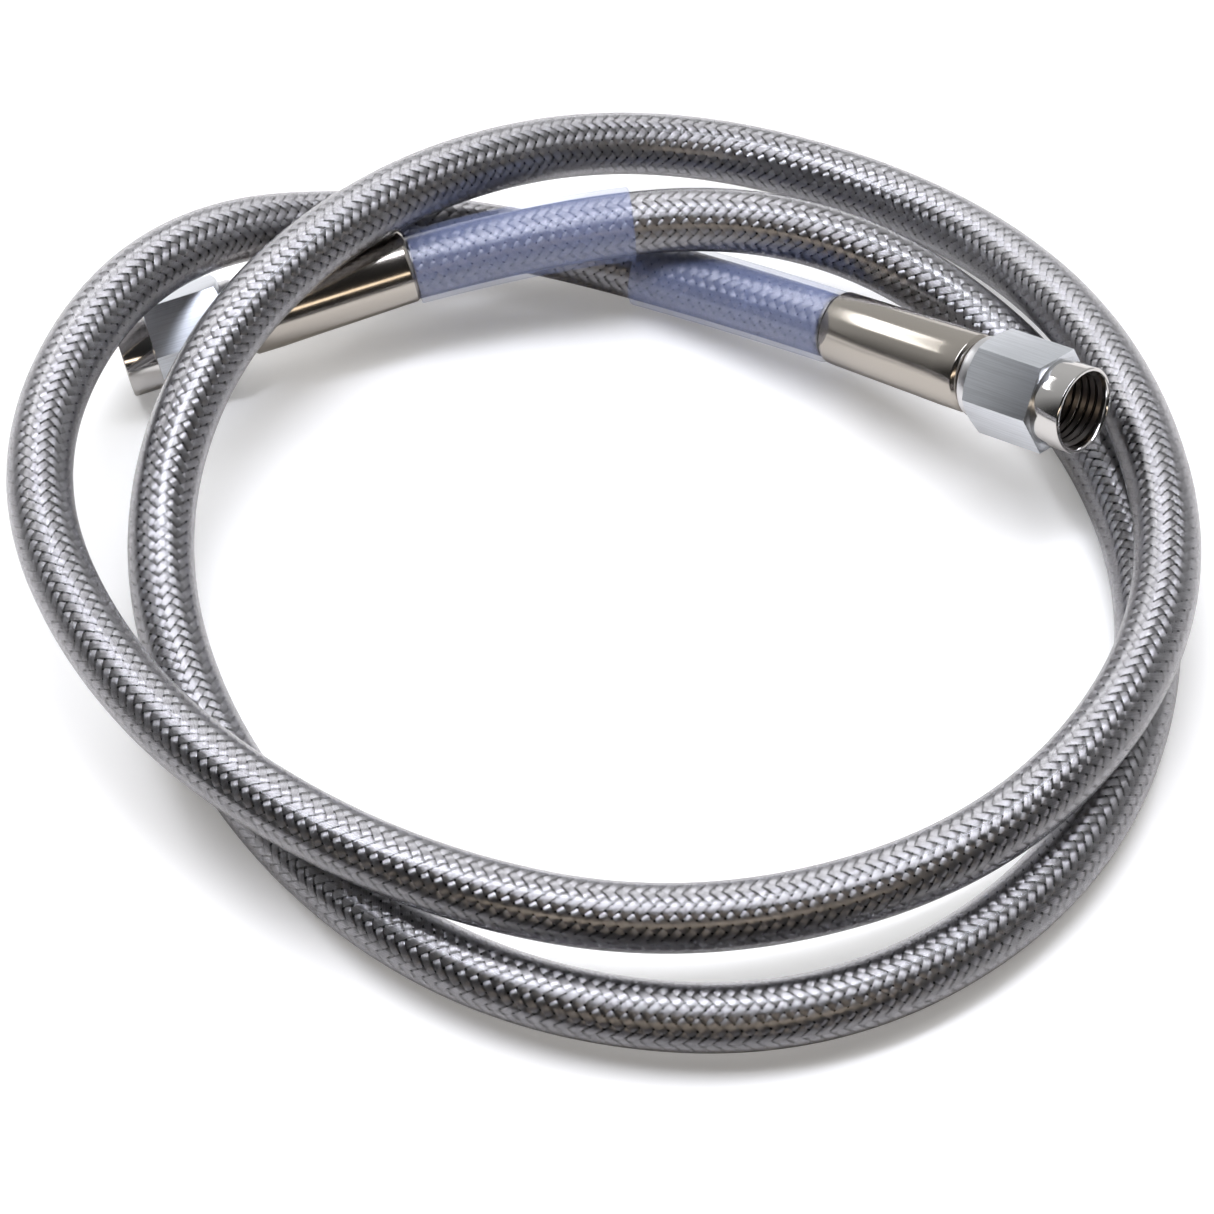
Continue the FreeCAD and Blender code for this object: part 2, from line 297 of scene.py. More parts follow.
@dataclass(frozen=True)
class WovenWire(Finish):
    """Drawn stainless wire, laid side by side in flat ribbons, which spreads its shine across them."""

    wires: int = 5
    wire_roundness: float = 0.35
    wire_height_mm: float = 0.05
    # Painted shade: the dark colour laid into the grooves between the wires and along the ribbon edges.
    painted_groove_shade: str = "1E1C1B"
    spread: float = 0.85
    marks_per_wire: float = 1.5
    marks_per_metre: float = 400.0
    darkest_mark: float = 0.75
    brightest_mark: float = 1.1

    def dress(self, tree: bpy.types.NodeTree, shader: bpy.types.Node) -> None:
        """Round each wire across the ribbon, paint shade into the grooves between the wires, and vary the
        colour from wire to wire.

        Args:
            tree: The material's node tree.
            shader: Its Principled shader.
        """
        shader.inputs["Anisotropic"].default_value = self.spread
        across = add_node(tree, "ShaderNodeTangent", {"direction_type": "UV_MAP", "uv_map": RIBBON_MAP})
        uv = add_node(tree, "ShaderNodeUVMap", {"uv_map": RIBBON_MAP})
        split = add_node(tree, "ShaderNodeSeparateXYZ", {}, {0: uv.outputs["UV"]})
        turn = add_node(tree, "ShaderNodeMath", {"operation": "MULTIPLY", 1: math.pi * self.wires},
                        {0: split.outputs["X"]})
        wave = add_node(tree, "ShaderNodeMath", {"operation": "SINE"}, {0: turn.outputs[0]})
        crown = add_node(tree, "ShaderNodeMath", {"operation": "ABSOLUTE"}, {0: wave.outputs[0]})
        bump = add_node(tree, "ShaderNodeBump",
                        {"Strength": self.wire_roundness, "Distance": self.wire_height_mm * MM},
                        {"Height": crown.outputs[0]})
        stretched = add_node(tree, "ShaderNodeMapping",
                             {"Scale": (self.wires * self.marks_per_wire, self.marks_per_metre, 1.0)},
                             {"Vector": uv.outputs["UV"]})
        marks = add_node(tree, "ShaderNodeTexNoise", {"Scale": 1.0, "Detail": 3.0},
                         {"Vector": stretched.outputs["Vector"]})
        # Painted shade: the colour runs to the dark groove colour where two wires meet.
        tint = add_node(tree, "ShaderNodeValToRGB", {}, {"Fac": crown.outputs[0]})
        set_ramp(tint, [(0.0, linear(self.painted_groove_shade)), (0.5, linear(self.colour))])
        shade = add_node(tree, "ShaderNodeMapRange",
                         {"To Min": self.darkest_mark, "To Max": self.brightest_mark},
                         {"Value": marks.outputs["Fac"]})
        mixed = add_node(tree, "ShaderNodeVectorMath", {"operation": "SCALE"},
                         {0: tint.outputs["Color"], "Scale": shade.outputs["Result"]})
        tree.links.new(across.outputs["Tangent"], shader.inputs["Tangent"])
        tree.links.new(mixed.outputs[0], shader.inputs["Base Color"])
        tree.links.new(bump.outputs["Normal"], shader.inputs["Normal"])


@dataclass(frozen=True)
class ClearPlastic(Finish):
    """Clear extruded plastic: a thin glossy wall, bright where it is seen edge on."""

    ior: float = 1.45
    streak_mm: float = 14.0
    polished: float = 0.5
    dulled: float = 1.5

    def dress(self, tree: bpy.types.NodeTree, shader: bpy.types.Node) -> None:
        """Let the light through, with faint extrusion streaks in the gloss.

        Args:
            tree: The material's node tree.
            shader: Its Principled shader.
        """
        shader.inputs["IOR"].default_value = self.ior
        shader.inputs["Transmission Weight"].default_value = 1.0
        place = add_node(tree, "ShaderNodeTexCoord")
        streaks = add_node(tree, "ShaderNodeTexNoise", {"Scale": 1 / (self.streak_mm * MM), "Detail": 2.0},
                           {"Vector": place.outputs["Object"]})
        gloss = add_node(tree, "ShaderNodeMapRange",
                         {"To Min": self.roughness * self.polished, "To Max": self.roughness * self.dulled},
                         {"Value": streaks.outputs["Fac"]})
        tree.links.new(gloss.outputs["Result"], shader.inputs["Roughness"])


@dataclass(frozen=True)
class MilkyPlastic(Finish):
    """Bluish translucent plastic: a haze that thickens towards the edges, over what is inside."""

    haze: float = 0.18
    edge_haze: float = 0.3
    edge_start: float = 0.7
    cloud_mm: float = 5.0
    thinnest: float = 0.7
    thickest: float = 1.3

    def dress(self, tree: bpy.types.NodeTree, shader: bpy.types.Node) -> None:
        """Thicken the haze where the wall is seen edge on, and let it vary a little along it.

        Args:
            tree: The material's node tree.
            shader: Its Principled shader.
        """
        facing = add_node(tree, "ShaderNodeLayerWeight", {"Blend": 0.5})
        place = add_node(tree, "ShaderNodeTexCoord")
        clouds = add_node(tree, "ShaderNodeTexNoise", {"Scale": 1 / (self.cloud_mm * MM), "Detail": 3.0},
                          {"Vector": place.outputs["Object"]})
        centre = add_node(tree, "ShaderNodeMapRange",
                          {"To Min": self.haze * self.thinnest, "To Max": self.haze * self.thickest},
                          {"Value": clouds.outputs["Fac"]})
        thickness = add_node(tree, "ShaderNodeMapRange",
                             {"interpolation_type": "SMOOTHSTEP", "From Min": self.edge_start,
                              "From Max": 1.0, "To Max": self.edge_haze},
                             {"Value": facing.outputs["Facing"], "To Min": centre.outputs["Result"]})
        tree.links.new(thickness.outputs["Result"], shader.inputs["Alpha"])


@dataclass(frozen=True)
class DarkLiner(Finish):
    """Liner tube: nearly black, dull, with a fine grain; it is what shows dark in the gaps of the braid."""

    grain_mm: float = 0.3
    grain_depth: float = 0.3
    grain_height_mm: float = 0.02

    def dress(self, tree: bpy.types.NodeTree, shader: bpy.types.Node) -> None:
        """Add the grain to the bump.

        Args:
            tree: The material's node tree.
            shader: Its Principled shader.
        """
        place = add_node(tree, "ShaderNodeTexCoord")
        grain = add_node(tree, "ShaderNodeTexNoise", {"Scale": 1 / (self.grain_mm * MM)},
                         {"Vector": place.outputs["Object"]})
        bump = add_node(tree, "ShaderNodeBump",
                        {"Strength": self.grain_depth, "Distance": self.grain_height_mm * MM},
                        {"Height": grain.outputs["Fac"]})
        tree.links.new(bump.outputs["Normal"], shader.inputs["Normal"])


SATIN_NICKEL = MilledNickel("satin_nickel_hexagon", "E8ECF2", 0.31, 1.0)
MIRROR_NICKEL = TurnedMetal("polished_nickel_nose", "D6D4D2", 0.09, 1.0)
HEM_NICKEL = TurnedMetal("satin_nickel_hem", "E0E0E2", 0.3, 1.0, ring_depth=0.15)
THREAD_STEEL = TurnedMetal("cut_thread_steel", "5E5A58", 0.32, 1.0, ring_depth=0.2)
STEM_STEEL = GrainedMetal("turned_stem_steel", "B9B2A8", 0.18, 1.0)
FERRULE_STEEL = TurnedMetal("polished_ferrule_steel", "BAB4AC", 0.15, 1.0, ring_depth=0.05)
BRAID_WIRE = WovenWire("woven_stainless_wire", "B3B2B0", 0.34, 1.0)
JACKET_PLASTIC = ClearPlastic("clear_extruded_jacket", "FAFAFF", 0.2)
SLEEVE_PLASTIC = MilkyPlastic("milky_blue_sleeve", "A9B8EA", 0.3)
# The liner is given a nearly black colour, which is what shows dark in the braid's gaps.
LINER_PLASTIC = DarkLiner("nearly_black_liner", "1B1A1C", 0.6)


def deselect_all() -> None:
    """Leave edit mode, and leave nothing selected."""
    if bpy.context.mode != "OBJECT":
        bpy.ops.object.mode_set(mode="OBJECT")
    bpy.ops.object.select_all(action="DESELECT")


def make_active(piece: bpy.types.Object) -> None:
    """Select one piece alone and make it the active one.

    Args:
        piece: The piece to select.
    """
    deselect_all()
    piece.select_set(True)
    bpy.context.view_layer.objects.active = piece


def apply_modifier(piece: bpy.types.Object, kind: str, **settings: object) -> None:
    """Add a modifier with these settings to a piece, and apply it.

    Args:
        piece: The piece that takes the modifier.
        kind: The modifier's type name.
        settings: Its properties.
    """
    make_active(piece)
    modifier = piece.modifiers.new(kind.title(), kind)
    for key, value in settings.items():
        setattr(modifier, key, value)
    bpy.ops.object.modifier_apply(modifier=modifier.name)


def turned_piece(name: str, outline: list[tuple[float, float]], edge_round: float) -> bpy.types.Object:
    """Turn a closed outline around +Z: a ring at its first corner is extruded to each next one.

    Args:
        name: The piece's name.
        outline: Corners as radius and distance along the axis, in millimetres.
        edge_round: The width of the bevel on its sharp edges in millimetres, or 0 for none.

    Returns:
        The turned piece, about the origin.
    """
    deselect_all()
    radius, along = outline[0]
    bpy.ops.mesh.primitive_circle_add(vertices=TURNED_SEGMENTS, radius=radius * MM,
                                      location=(0, 0, along * MM))
    piece = bpy.context.active_object
    piece.name = name
    bpy.ops.object.transform_apply(location=True, rotation=True, scale=True)
    bpy.ops.object.mode_set(mode="EDIT")
    bpy.ops.mesh.select_all(action="SELECT")
    for next_radius, next_along in outline[1:] + outline[:1]:
        bpy.ops.mesh.extrude_region_move(TRANSFORM_OT_translate={"value": (0, 0, (next_along - along) * MM)})
        scale = next_radius / radius
        bpy.ops.transform.resize(value=(scale, scale, 1.0), center_override=(0, 0, next_along * MM))
        radius, along = next_radius, next_along
    bpy.ops.mesh.select_all(action="SELECT")
    bpy.ops.mesh.remove_doubles(threshold=1e-6)
    bpy.ops.mesh.normals_make_consistent(inside=False)
    bpy.ops.object.mode_set(mode="OBJECT")
    if edge_round:
        apply_modifier(piece, "BEVEL", width=edge_round * MM, segments=BEVEL_STEPS, limit_method="ANGLE",
                       angle_limit=SHARP_EDGE, harden_normals=False)
    make_active(piece)
    bpy.ops.object.shade_smooth_by_angle(angle=SMOOTH_EDGE)
    return piece


def dress(piece: bpy.types.Object, material: bpy.types.Material) -> None:
    """Give a piece one material all over."""
    piece.data.materials.clear()
    piece.data.materials.append(material)


def keep_local_place(piece: bpy.types.Object) -> None:
    """Store each point's own place, in millimetres, before the piece is moved, for its pattern.

    Args:
        piece: The piece, still about its own axis.
    """
    places = np.empty(len(piece.data.vertices) * 3, dtype=np.float32)
    piece.data.vertices.foreach_get("co", places)
    attribute = piece.data.attributes.new(LOCAL_PLACE, "FLOAT_VECTOR", "POINT")
    attribute.data.foreach_set("vector", places / MM)


def mesh_piece(name: str, points: np.ndarray, faces: np.ndarray) -> bpy.types.Object:
    """Make a smooth mesh piece from its points and its faces' point numbers.

    Args:
        name: The piece's name.
        points: An array of places, in metres.
        faces: An array of four point numbers for each face.

    Returns:
        The piece, linked to the scene.
    """
    mesh = bpy.data.meshes.new(name)
    mesh.from_pydata(points.reshape(-1, 3).tolist(), [], faces.tolist())
    mesh.validate()
    piece = bpy.data.objects.new(name, mesh)
    bpy.context.scene.collection.objects.link(piece)
    mesh.shade_smooth()
    return piece


@dataclass
class MiddleLine:
    """The hose's middle line: one NURBS spline, and places and directions read from it."""

    corners_mm: list[tuple[float, float, float]]
    resolution: int = 40
    points: np.ndarray = field(init=False)
    tangents: np.ndarray = field(init=False)
    normals: np.ndarray = field(init=False)
    reached: np.ndarray = field(init=False)

    def __post_init__(self) -> None:
        """Read the points along the spline, and carry a direction along them without a twist."""
        spare = self.curve()
        bpy.context.view_layer.update()
        evaluated = spare.evaluated_get(bpy.context.evaluated_depsgraph_get())
        line = bpy.data.meshes.new_from_object(evaluated)
        self.points = np.array([vertex.co[:] for vertex in line.vertices])
        bpy.data.meshes.remove(line)
        bpy.data.objects.remove(spare)
        steps = np.linalg.norm(np.diff(self.points, axis=0), axis=1)
        self.reached = np.concatenate([[0.0], np.cumsum(steps)])
        slopes = np.gradient(self.points, self.reached, axis=0)
        self.tangents = slopes / np.linalg.norm(slopes, axis=1)[:, None]
        self.normals = self.carried_normals()

    @property
    def length(self) -> float:
        """The line's length, in metres."""
        return float(self.reached[-1])

    def curve(self) -> bpy.types.Object:
        """Make the spline as a bare curve, to read its points from.

        Returns:
            The curve object, linked to the scene.
        """
        data = bpy.data.curves.new("middle_line", "CURVE")
        data.dimensions = "3D"
        spline = data.splines.new("NURBS")
        spline.points.add(len(self.corners_mm) - 1)
        for point, corner in zip(spline.points, self.corners_mm):
            point.co = (corner[0] * MM, corner[1] * MM, corner[2] * MM, 1.0)
        spline.order_u = 3
        spline.use_endpoint_u = True
        data.resolution_u = self.resolution
        piece = bpy.data.objects.new("middle_line", data)
        bpy.context.scene.collection.objects.link(piece)
        return piece

    def carried_normals(self) -> np.ndarray:
        """Carry an upward normal along the line, turning no more than the line does.

        Returns:
            One unit normal for each point.
        """
        carried = []
        normal = np.array([0.0, 0.0, 1.0])
        for tangent in self.tangents:
            normal = normal - tangent * normal.dot(tangent)
            normal = normal / np.linalg.norm(normal)
            carried.append(normal)
        return np.array(carried)

    def around(self, along: np.ndarray, angle: np.ndarray, radius: np.ndarray) -> np.ndarray:
        """Find places around the line.

        Args:
            along: Distances along the line, in metres.
            angle: Angles around it, from its carried normal.
            radius: Distances from it, in metres.

        Returns:
            The places, in an array with one more axis than along.
        """
        centre = np.stack([np.interp(along, self.reached, self.points[:, axis]) for axis in range(3)], -1)
        tangent = np.stack([np.interp(along, self.reached, self.tangents[:, axis]) for axis in range(3)], -1)
        normal = np.stack([np.interp(along, self.reached, self.normals[:, axis]) for axis in range(3)], -1)
        tangent /= np.linalg.norm(tangent, axis=-1)[..., None]
        side = np.cross(tangent, normal)
        side /= np.linalg.norm(side, axis=-1)[..., None]
        normal = np.cross(side, tangent)
        turned = normal * np.cos(angle)[..., None] + side * np.sin(angle)[..., None]
        return centre + turned * radius[..., None]

    def sleeve(self, name: str, stations: np.ndarray, radii: np.ndarray, around: int) -> bpy.types.Object:
        """Make a closed tube wall whose rings go out along the line and back inside.

        Args:
            name: The piece's name.
            stations: Distance along the line of each ring, in metres.
            radii: Radius of each ring, in metres.
            around: How many points each ring has.

        Returns:
            The piece; its last ring is joined to its first.
        """
        angle = np.linspace(0.0, 2 * math.pi, around, endpoint=False)
        grid = np.ones((len(stations), around))
        places = self.around(stations[:, None] * grid, angle[None] * grid, radii[:, None] * grid)
        number = np.arange(len(stations) * around).reshape(len(stations), around)
        ahead = np.roll(number, -1, axis=0)
        faces = np.stack([number, np.roll(number, -1, axis=1), np.roll(ahead, -1, axis=1), ahead], -1)
        return mesh_piece(name, places, faces.reshape(-1, 4))


@dataclass
class Braid:
    """The woven wire braid: flat ribbons of wires, two over and two under, in two leans."""

    line: MiddleLine
    start: float
    end: float
    radius: float = 3.45 * MM
    swing: float = 0.14 * MM
    crown: float = 0.05 * MM
    sharpness: float = 2.8
    ribbons: int = 14
    pitch: float = 20.7 * MM
    ribbon_width: float = 0.82 * MM
    steps_per_crossing: int = 3

    def build(self) -> list[bpy.types.Object]:
        """Weave the braid: the ribbons of each lean are laid in two sets of alternate ones.

        Returns:
            Two pieces for each lean.
        """
        return [self.half(lean, first) for lean in Lean for first in (0, 1)]

    def half(self, lean: Lean, first: int) -> bpy.types.Object:
        """Lay every other ribbon that leans one way.

        Args:
            lean: The way that they turn around the hose.
            first: The first of them, 0 or 1.

        Returns:
            The piece, with a UV map across and along its ribbons.
        """
        step = self.pitch / (2 * self.ribbons * self.steps_per_crossing)
        along = np.arange(self.start, self.end, step)
        slope = math.atan2(2 * math.pi * self.radius, self.pitch)
        across = np.array([-0.5, 0.0, 0.5]) * self.ribbon_width
        crown = np.array([0.0, self.crown, 0.0])
        places = []
        laid = range(first, self.ribbons, 2)
        for ribbon in laid:
            middle = lean.value * 2 * math.pi * along / self.pitch + 2 * math.pi * ribbon / self.ribbons
            shifted = along[:, None] - lean.value * across[None] * math.sin(slope)
            angle = middle[:, None] + across[None] * math.cos(slope) / self.radius
            weave = np.cos(0.5 * self.ribbons * middle - math.pi / 4)
            height = np.tanh(self.sharpness * weave) / math.tanh(self.sharpness)
            radius = self.radius + lean.value * self.swing * height[:, None] + crown[None]
            places.append(self.line.around(np.clip(shifted, 0.0, self.line.length), angle, radius))
        number = np.arange(len(laid) * len(along) * 3).reshape(len(laid), len(along), 3)
        corners = [number[:, :-1, :-1], number[:, :-1, 1:], number[:, 1:, 1:], number[:, 1:, :-1]]
        faces = np.stack(corners, -1).reshape(-1, 4)
        piece = mesh_piece(f"braid_{lean.name.lower()}_{first}", np.array(places), faces)
        self.map_ribbons(piece, along, len(laid))
        return piece

    @staticmethod
    def map_ribbons(piece: bpy.types.Object, along: np.ndarray, ribbons: int) -> None:
        """Give the ribbons a UV map: 0 to 1 across, and metres along.

        Args:
            piece: The set of ribbons.
            along: The distances along the hose of its rows of points.
            ribbons: How many ribbons it has.
        """
        across = np.tile(np.array([0.0, 0.5, 1.0]), ribbons * len(along))
        distance = np.tile(np.repeat(along, 3), ribbons)
        corners = np.empty(len(piece.data.loops), dtype=np.int32)
        piece.data.loops.foreach_get("vertex_index", corners)
        layer = piece.data.uv_layers.new(name=RIBBON_MAP)
        layer.data.foreach_set("uv", np.stack([across[corners], distance[corners]], -1).ravel())


@dataclass
class Hose:
    """The hose: clear jacket, woven braid, dark liner, and a blue sleeve at each end."""

    line: MiddleLine
    jacket_radius: float = 3.85 * MM
    jacket_bore: float = 3.67 * MM
    liner_radius: float = 3.15 * MM
    liner_bore: float = 1.6 * MM
    hidden_end: float = 12.0 * MM
    sleeve_radius: float = 4.5 * MM
    sleeve_length: float = 27.0 * MM
    sleeve_gap: float = 0.03 * MM
    sleeve_rim: float = 0.12 * MM
    cord_length: float = 0.855
    sleeve_start: dict[Side, float] = field(
        default_factory=lambda: {Side.LEFT: 19.7 * MM, Side.RIGHT: 20.05 * MM})

    def build(self) -> None:
        jacket = self.jacket()
        sleeves = [self.blue_sleeve(side) for side in Side]
        liner = self.liner()
        braid = Braid(self.line, self.hidden_end, self.line.length - self.hidden_end).build()
        wire = BRAID_WIRE.material()
        for half in braid:
            dress(half, wire)
            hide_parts("hose_braid")
        for piece in [jacket, liner, *sleeves, *braid]:
            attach(piece, "hose_line")
            LOG.info("made %s", piece.name)

    def tube(self, name: str, outer: float, inner: float, rings: int, around: int) -> bpy.types.Object:
        """Make one layer of the hose over its whole length.

        Args:
            name: The layer's name.
            outer: Its outer radius.
            inner: Its inner radius.
            rings: How many rings of points each of its two walls has.
            around: How many points each ring has.

        Returns:
            The layer, a closed tube wall.
        """
        out = np.linspace(0.0, self.line.length, rings)
        stations = np.concatenate([out, out[::-1]])
        radii = np.concatenate([np.full(rings, outer), np.full(rings, inner)])
        return self.line.sleeve(name, stations, radii, around)

    def jacket(self) -> bpy.types.Object:
        """Make the clear jacket.

        Returns:
            The jacket, a thin clear wall.
        """
        jacket = self.tube("hose_jacket_skin", self.jacket_radius, self.jacket_bore, rings=600, around=48)
        dress(jacket, JACKET_PLASTIC.material())
        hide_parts("hose_jacket")
        return jacket

    def liner(self) -> bpy.types.Object:
        """Make the dark tube inside the braid.

        Returns:
            The liner, a thick dark wall.
        """
        liner = self.tube("hose_liner_tube", self.liner_radius, self.liner_bore, rings=430, around=24)
        dress(liner, LINER_PLASTIC.material())
        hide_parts("hose_liner")
        return liner

    def blue_sleeve(self, side: Side) -> bpy.types.Object:
        """Make the translucent sleeve behind one ferrule, with slightly rounded, cut ends.

        Args:
            side: The end of the line that it belongs to.

        Returns:
            The sleeve, a closed tube wall around the jacket.
        """
        inside = self.jacket_radius + self.sleeve_gap
        rim = self.sleeve_rim
        out = np.linspace(rim, self.sleeve_length - rim, 40)
        distance = np.concatenate([[0.0], out, [self.sleeve_length, self.sleeve_length], out[::-1], [0.0]])
        radii = np.concatenate([[self.sleeve_radius - rim], np.full(len(out), self.sleeve_radius),
                                [self.sleeve_radius - rim, inside], np.full(len(out), inside), [inside]])
        stations = self.sleeve_start[side] + distance
        if side is Side.RIGHT:
            stations = (self.line.length - stations)[::-1]
            radii = radii[::-1]
        sleeve = self.line.sleeve(f"{side.value}_blue_sleeve", stations, radii, around=64)
        dress(sleeve, SLEEVE_PLASTIC.material())
        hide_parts(f"{side.value}_strain_sleeve")
        return sleeve


@dataclass
class Fitting:
    """One end's swivel nut and crimp ferrule, in millimetres along +Z from the mouth, and then placed."""

    side: Side
    hose_end: Vector
    next_corner: Vector
    flat_faces: Vector
    ferrule_start: float
    ferrule_length: float = 21.3
    ferrule_radius: float = 4.82
    ferrule_tail_radius: float = 4.5
    ferrule_bore: float = 3.86
    collar_bore: float = 3.52
    neck_end: float = 17.0
    nose_radius: float = 5.2
    nose_bore: float = 4.6
    nose_lip: float = 0.14
    nose_end: float = 4.0
    chamber_radius: float = 4.9
    chamber_end: float = 11.5
    hex_flats: float = 11.11
    hex_corner_radius: float = 6.41
    hex_chamfer: float = 0.62
    hex_edge: float = 0.09
    hex_end: float = 13.6
    hem_radius: float = 5.0
    hem_bore: float = 3.57
    hem_end: float = 15.1
    joint_overlap: float = 0.3
    thread_pitch: float = 1.058
    thread_start: float = 0.9
    thread_crest: float = 4.27
    thread_root: float = 4.66
    thread_turns: int = 5
    thread_steps: int = 48

    def placement(self) -> Matrix:
        """Find where the fitting goes, from the hose's last run and the way that one flat faces.

        Returns:
            The matrix from the fitting's own frame to the shared one.
        """
        inward = (self.next_corner - self.hose_end).normalized()
        origin = self.hose_end - inward * self.neck_end * MM
        across = (self.flat_faces - inward * self.flat_faces.dot(inward)).normalized()
        turned = Matrix((across, inward.cross(across), inward)).transposed()
        return Matrix.Translation(origin) @ turned.to_4x4()

    def build(self) -> None:
        """Make the nut and the ferrule, place them, attach them to their bodies, and hide the CAD nodes that
        they stand for.
        """
        nut = self.nut()
        ferrule = self.ferrule()
        for piece, node, slot, body in (
                (nut, "swivel_nut", "nickel_steel", f"{self.side.value}_nut"),
                (ferrule, "crimp_ferrule", "ferrule_steel", "hose_line")):
            piece.data.transform(self.placement())
            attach(piece, body)
            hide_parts(f"{self.side.value}_{node}")
            LOG.info("made %s", piece.name)

    def ferrule(self) -> bpy.types.Object:
        """Turn the smooth ferrule, crimped a little slimmer towards the hose.

        Returns:
            The ferrule, about its own axis.
        """
        start = self.ferrule_start
        end = start + self.ferrule_length
        outline = [
            (self.collar_bore, start),
            (4.3, start),
            (4.8, start + 0.5),
            (self.ferrule_radius, start + 3.5),
            (4.72, start + 8.0),
            (4.62, start + 14.0),
            (self.ferrule_tail_radius, end - 0.5),
            (4.1, end),
            (self.ferrule_bore, end),
            (self.ferrule_bore, self.neck_end),
            (self.collar_bore, self.neck_end),
        ]
        ferrule = turned_piece(f"{self.side.value}_polished_ferrule", outline, edge_round=0.2)
        keep_local_place(ferrule)
        dress(ferrule, FERRULE_STEEL.material())
        return ferrule

    def nut(self) -> bpy.types.Object:
        """Make the swivel nut from its hexagon, nose, hem and internal thread.

        Returns:
            The nut as one piece, about its own axis.
        """
        parts = [self.hexagon(), self.nose(), self.hem(), self.thread()]
        for part, finish in zip(parts, (SATIN_NICKEL, MIRROR_NICKEL, HEM_NICKEL, THREAD_STEEL)):
            keep_local_place(part)
            dress(part, finish.material())
        make_active(parts[0])
        for part in parts[1:]:
            part.select_set(True)
        bpy.ops.object.join()
        parts[0].name = f"{self.side.value}_nickel_nut"
        return parts[0]

    def hexagon(self) -> bpy.types.Object:
        """Cut the nut's hexagon: a six-sided bar with its rear corners turned off and a bore.

        Returns:
            The hexagon, about its own axis.
        """
        deselect_all()
        length = (self.hex_end - self.nose_end) * MM
        middle = (self.hex_end + self.nose_end) / 2 * MM
        corner = self.hex_flats / 2 / math.cos(math.pi / 6) * MM
        bpy.ops.mesh.primitive_cylinder_add(vertices=6, radius=corner, depth=length, location=(0, 0, middle))
        hexagon = bpy.context.active_object
        hexagon.name = f"{self.side.value}_hexagon"
        bpy.ops.object.transform_apply(location=True, rotation=True, scale=True)
        barrel_outline = [
            (4.7, self.nose_end - 1.0),
            (self.hex_corner_radius, self.nose_end - 1.0),
            (self.hex_corner_radius, self.hex_end - self.hex_chamfer),
            (5.3, self.hex_end + 0.02),
            (4.7, self.hex_end + 0.02),
        ]
        barrel = turned_piece("barrel_cutter", barrel_outline, edge_round=0.0)
        apply_modifier(hexagon, "BOOLEAN", operation="INTERSECT", object=barrel, solver="EXACT")
        bpy.data.objects.remove(barrel)
        apply_modifier(hexagon, "BEVEL", width=self.hex_edge * MM, segments=BEVEL_STEPS,
                       limit_method="ANGLE", angle_limit=HEX_SHARP_EDGE)
        make_active(hexagon)
        bpy.ops.object.shade_smooth_by_angle(angle=SMOOTH_EDGE)
        return hexagon

    def nose(self) -> bpy.types.Object:
        """Turn the nut's round nose and the wall inside it.

        Returns:
            The nose, about its own axis.
        """
        joined = self.nose_end + self.joint_overlap
        outline = [
            (4.78, 0.0),
            (self.nose_radius - self.nose_lip, 0.0),
            (self.nose_radius, self.nose_lip),
            (self.nose_radius, joined),
            (self.chamber_radius, joined),
            (self.chamber_radius, self.chamber_end),
            (self.nose_bore, self.chamber_end),
            (self.nose_bore, 0.4),
        ]
        return turned_piece(f"{self.side.value}_nose", outline, edge_round=0.05)

    def hem(self) -> bpy.types.Object:
        """Turn the short round hem behind the hexagon.

        Returns:
            The hem, about its own axis.
        """
        inside = self.hex_end - 1.8
        outline = [
            (self.hem_bore, inside),
            (self.chamber_radius, inside),
            (self.chamber_radius, self.hex_end),
            (self.hem_radius, self.hex_end + 0.02),
            (self.hem_radius, self.hem_end - 0.3),
            (4.8, self.hem_end),
            (self.hem_bore, self.hem_end),
        ]
        return turned_piece(f"{self.side.value}_hem", outline, edge_round=0.1)

    def thread(self) -> bpy.types.Object:
        """Wind the internal thread, one tooth's outline turned in a helix.

        Returns:
            The thread, about its own axis.
        """
        deselect_all()
        bpy.ops.mesh.primitive_plane_add(size=1.0)
        thread = bpy.context.active_object
        thread.name = f"{self.side.value}_thread"
        root, crest = self.thread_root, self.thread_crest
        tooth = [(root, -0.5), (crest, -0.08), (root, 0.5), (crest, 0.08)]
        for vertex, (radius, pitches) in zip(thread.data.vertices, tooth):
            vertex.co = (radius * MM, 0.0, (self.thread_start + pitches * self.thread_pitch) * MM)
        apply_modifier(thread, "SCREW", angle=2 * math.pi, screw_offset=self.thread_pitch * MM,
                       iterations=self.thread_turns, steps=self.thread_steps,
                       render_steps=self.thread_steps, use_merge_vertices=False,
                       use_normal_calculate=True)
        make_active(thread)
        bpy.ops.object.shade_smooth_by_angle(angle=THREAD_SMOOTH_EDGE)
        return thread


